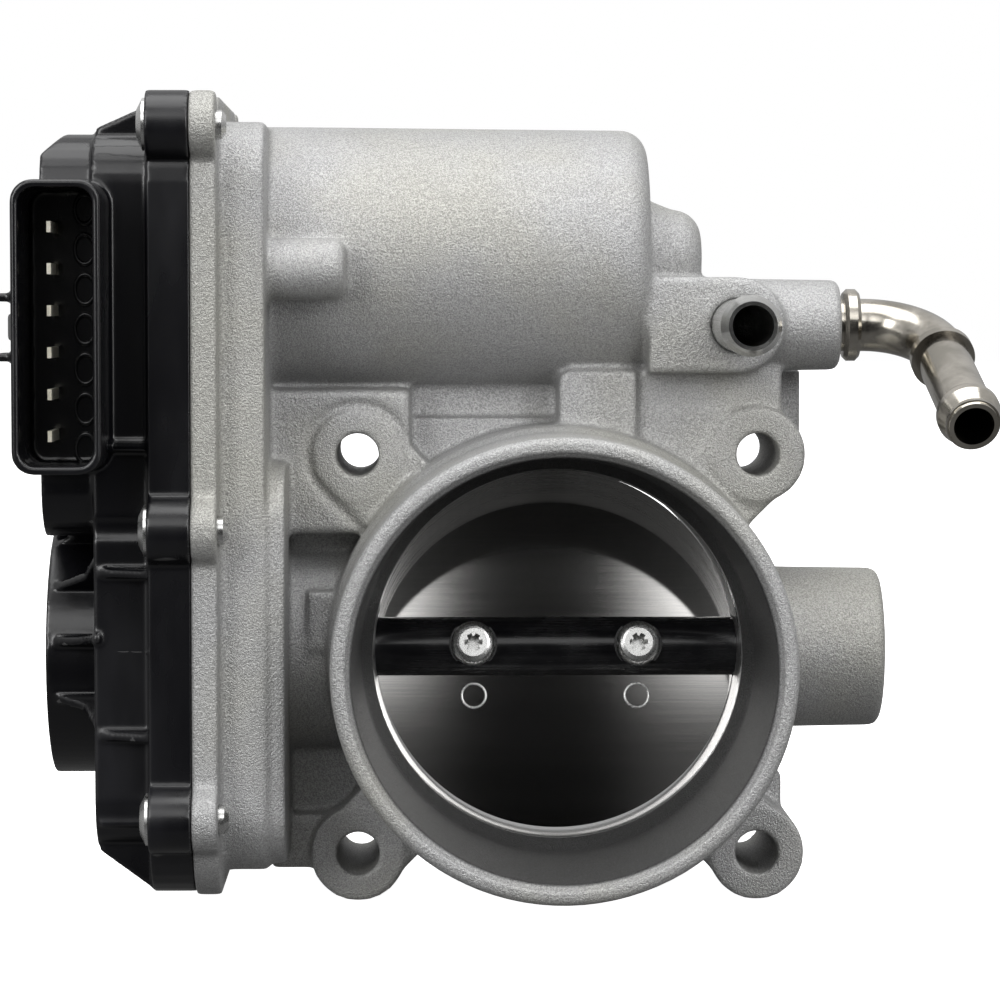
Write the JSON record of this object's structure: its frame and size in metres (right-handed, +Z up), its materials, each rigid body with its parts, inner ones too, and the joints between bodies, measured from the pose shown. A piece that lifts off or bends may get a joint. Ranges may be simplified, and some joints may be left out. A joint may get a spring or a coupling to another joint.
{
  "type": "electronic throttle body",
  "caption": "Cast electronic throttle body: butterfly plate on a geared, motor-driven shaft, plastic gear cover with connector, coolant hose nipples and manifold bolt ears.",
  "frame": {"origin": "on the bore axis in the manifold mounting face, at the centre of the four bolt holes", "axes": "+X along the throttle shaft away from the gear case, +Y downstream into the manifold, +Z up towards the motor"},
  "size_m": [0.1563, 0.0863, 0.1311],
  "materials": {
    "cast_aluminium": "shot-blasted die casting",
    "cover_plastic": "glossy glass-filled plastic",
    "brushed_plate": "brushed sheet",
    "blackened_steel": "black coated, glossy",
    "bright_steel": "bright zinc",
    "machined_steel": "turned and ground",
    "nipple_steel": "zinc plated tube",
    "stainless_tube": "brazed stainless tube",
    "rubber_black": "matt",
    "terminal_metal": "tinned",
    "circuit_board": "solder resist",
    "gear_nylon": "moulded nylon",
    "magnet_dark": "sintered",
    "motor_steel": "zinc plated",
    "motor_plastic": "moulded",
    "carbon": "carbon",
    "core_steel": "laminated",
    "copper": "enamelled wire and copper",
    "pinion_brass": "machined brass"
  },
  "bodies": {
    "body": {"throttle_housing": "cast_aluminium", "gear_cover": "cover_plastic", "cover_seal": "rubber_black", "cover_rivets": "bright_steel", "connector_terminals": "terminal_metal", "hall_sensor": "circuit_board", "manifold_seal": "rubber_black", "coolant_nipple": "nipple_steel", "coolant_elbow": "stainless_tube", "shaft_end_plug": "bright_steel", "bearing_outer_ring": "machined_steel", "bearing_balls": "machined_steel", "needle_cup": "machined_steel", "needle_rollers": "machined_steel", "shaft_seals": "rubber_black", "return_spring": "machined_steel", "stop_pins": "machined_steel", "intermediate_pin": "machined_steel", "motor_can": "motor_steel", "motor_magnets": "magnet_dark", "motor_end_cap": "motor_plastic", "motor_brushes": "carbon", "motor_blades": "terminal_metal", "motor_screws": "bright_steel", "motor_wave_washer": "machined_steel"},
    "throttle": {"throttle_shaft": "blackened_steel", "throttle_plate": "brushed_plate", "plate_screws": "bright_steel", "throttle_gear": "gear_nylon", "gear_nut": "bright_steel", "sensor_magnets": "magnet_dark", "bearing_inner_ring": "machined_steel"},
    "intermediate": {"intermediate_gear": "gear_nylon"},
    "rotor": {"motor_shaft": "machined_steel", "armature_core": "core_steel", "armature_windings": "copper", "commutator": "copper", "pinion_gear": "pinion_brass"}
  },
  "joints": [
    {"name": "throttle_turn", "type": "hinge", "parent": "body", "child": "throttle", "pos_m": [0, -0.022, 0], "axis": [-1, 0, 0], "range_deg": [-6, 78], "stiffness_Nm_per_rad": 0.15},
    {"name": "intermediate_turn", "type": "hinge", "parent": "body", "child": "intermediate", "pos_m": [-0.063, -0.022, 0.036], "axis": [1, 0, 0], "range_deg": [-19, 235]},
    {"name": "motor_turn", "type": "hinge", "parent": "body", "child": "rotor", "pos_m": [-0.02, -0.022, 0.0648], "axis": [-1, 0, 0], "range_deg": [-101.82, 1299.64]}
  ],
  "couplings": [
    {"joint": "intermediate_turn", "follows": "throttle_turn", "ratio": 3},
    {"joint": "motor_turn", "follows": "throttle_turn", "ratio": 16.636}
  ]
}
